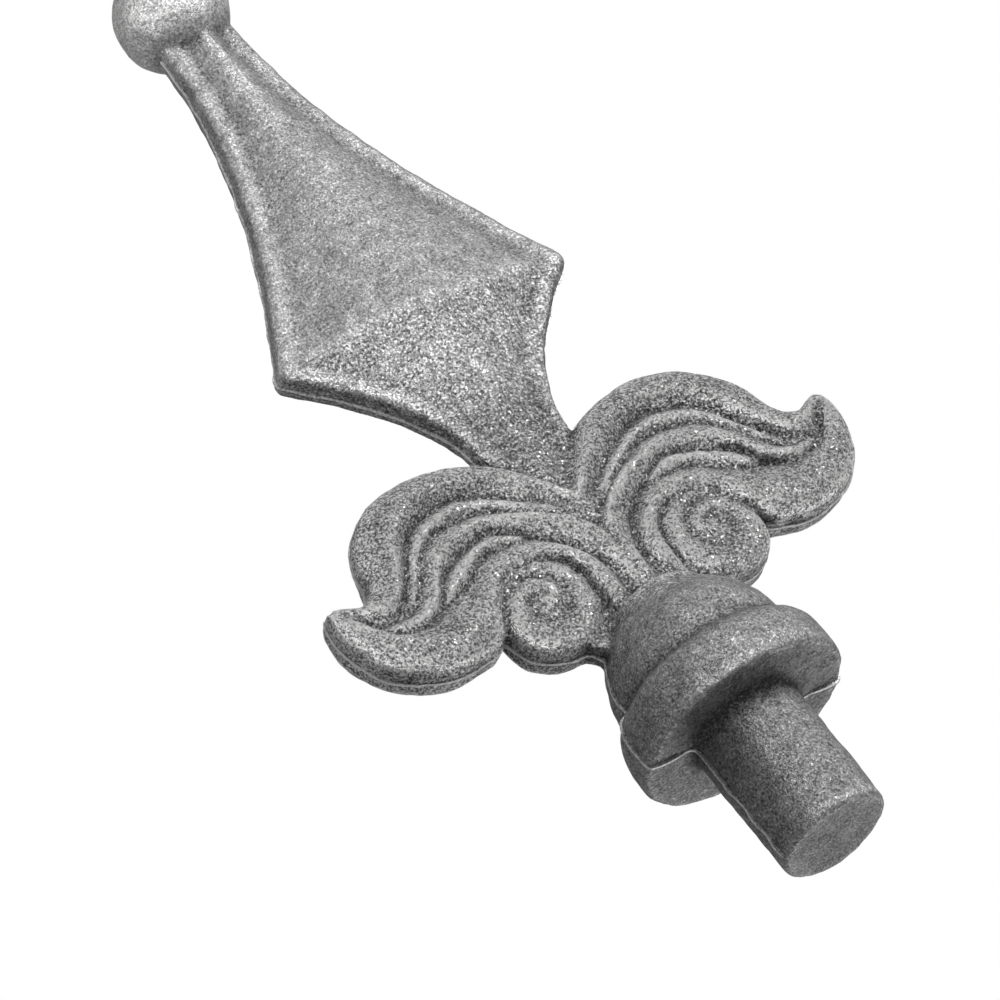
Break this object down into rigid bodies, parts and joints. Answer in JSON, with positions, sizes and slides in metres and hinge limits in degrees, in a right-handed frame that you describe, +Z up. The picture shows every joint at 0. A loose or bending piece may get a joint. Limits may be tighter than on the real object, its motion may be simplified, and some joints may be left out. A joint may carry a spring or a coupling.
{
  "type": "fence finial",
  "caption": "Solid cast-iron fence finial: round shank, turned collar and neck, scrolled leaves, faceted spear blade and ball tip.",
  "frame": {"origin": "centre of the shank's flat end face", "axes": "+Z up along the shank towards the ball tip, -Y out of the front face of the blade, +X across the leaves"},
  "size_m": [0.1002, 0.0392, 0.2044],
  "materials": {
    "cast_iron": "raw shot-blasted grey casting, matt with a fine grain"
  },
  "bodies": {
    "root": {"finial_casting": "cast_iron"}
  },
  "joints": []
}
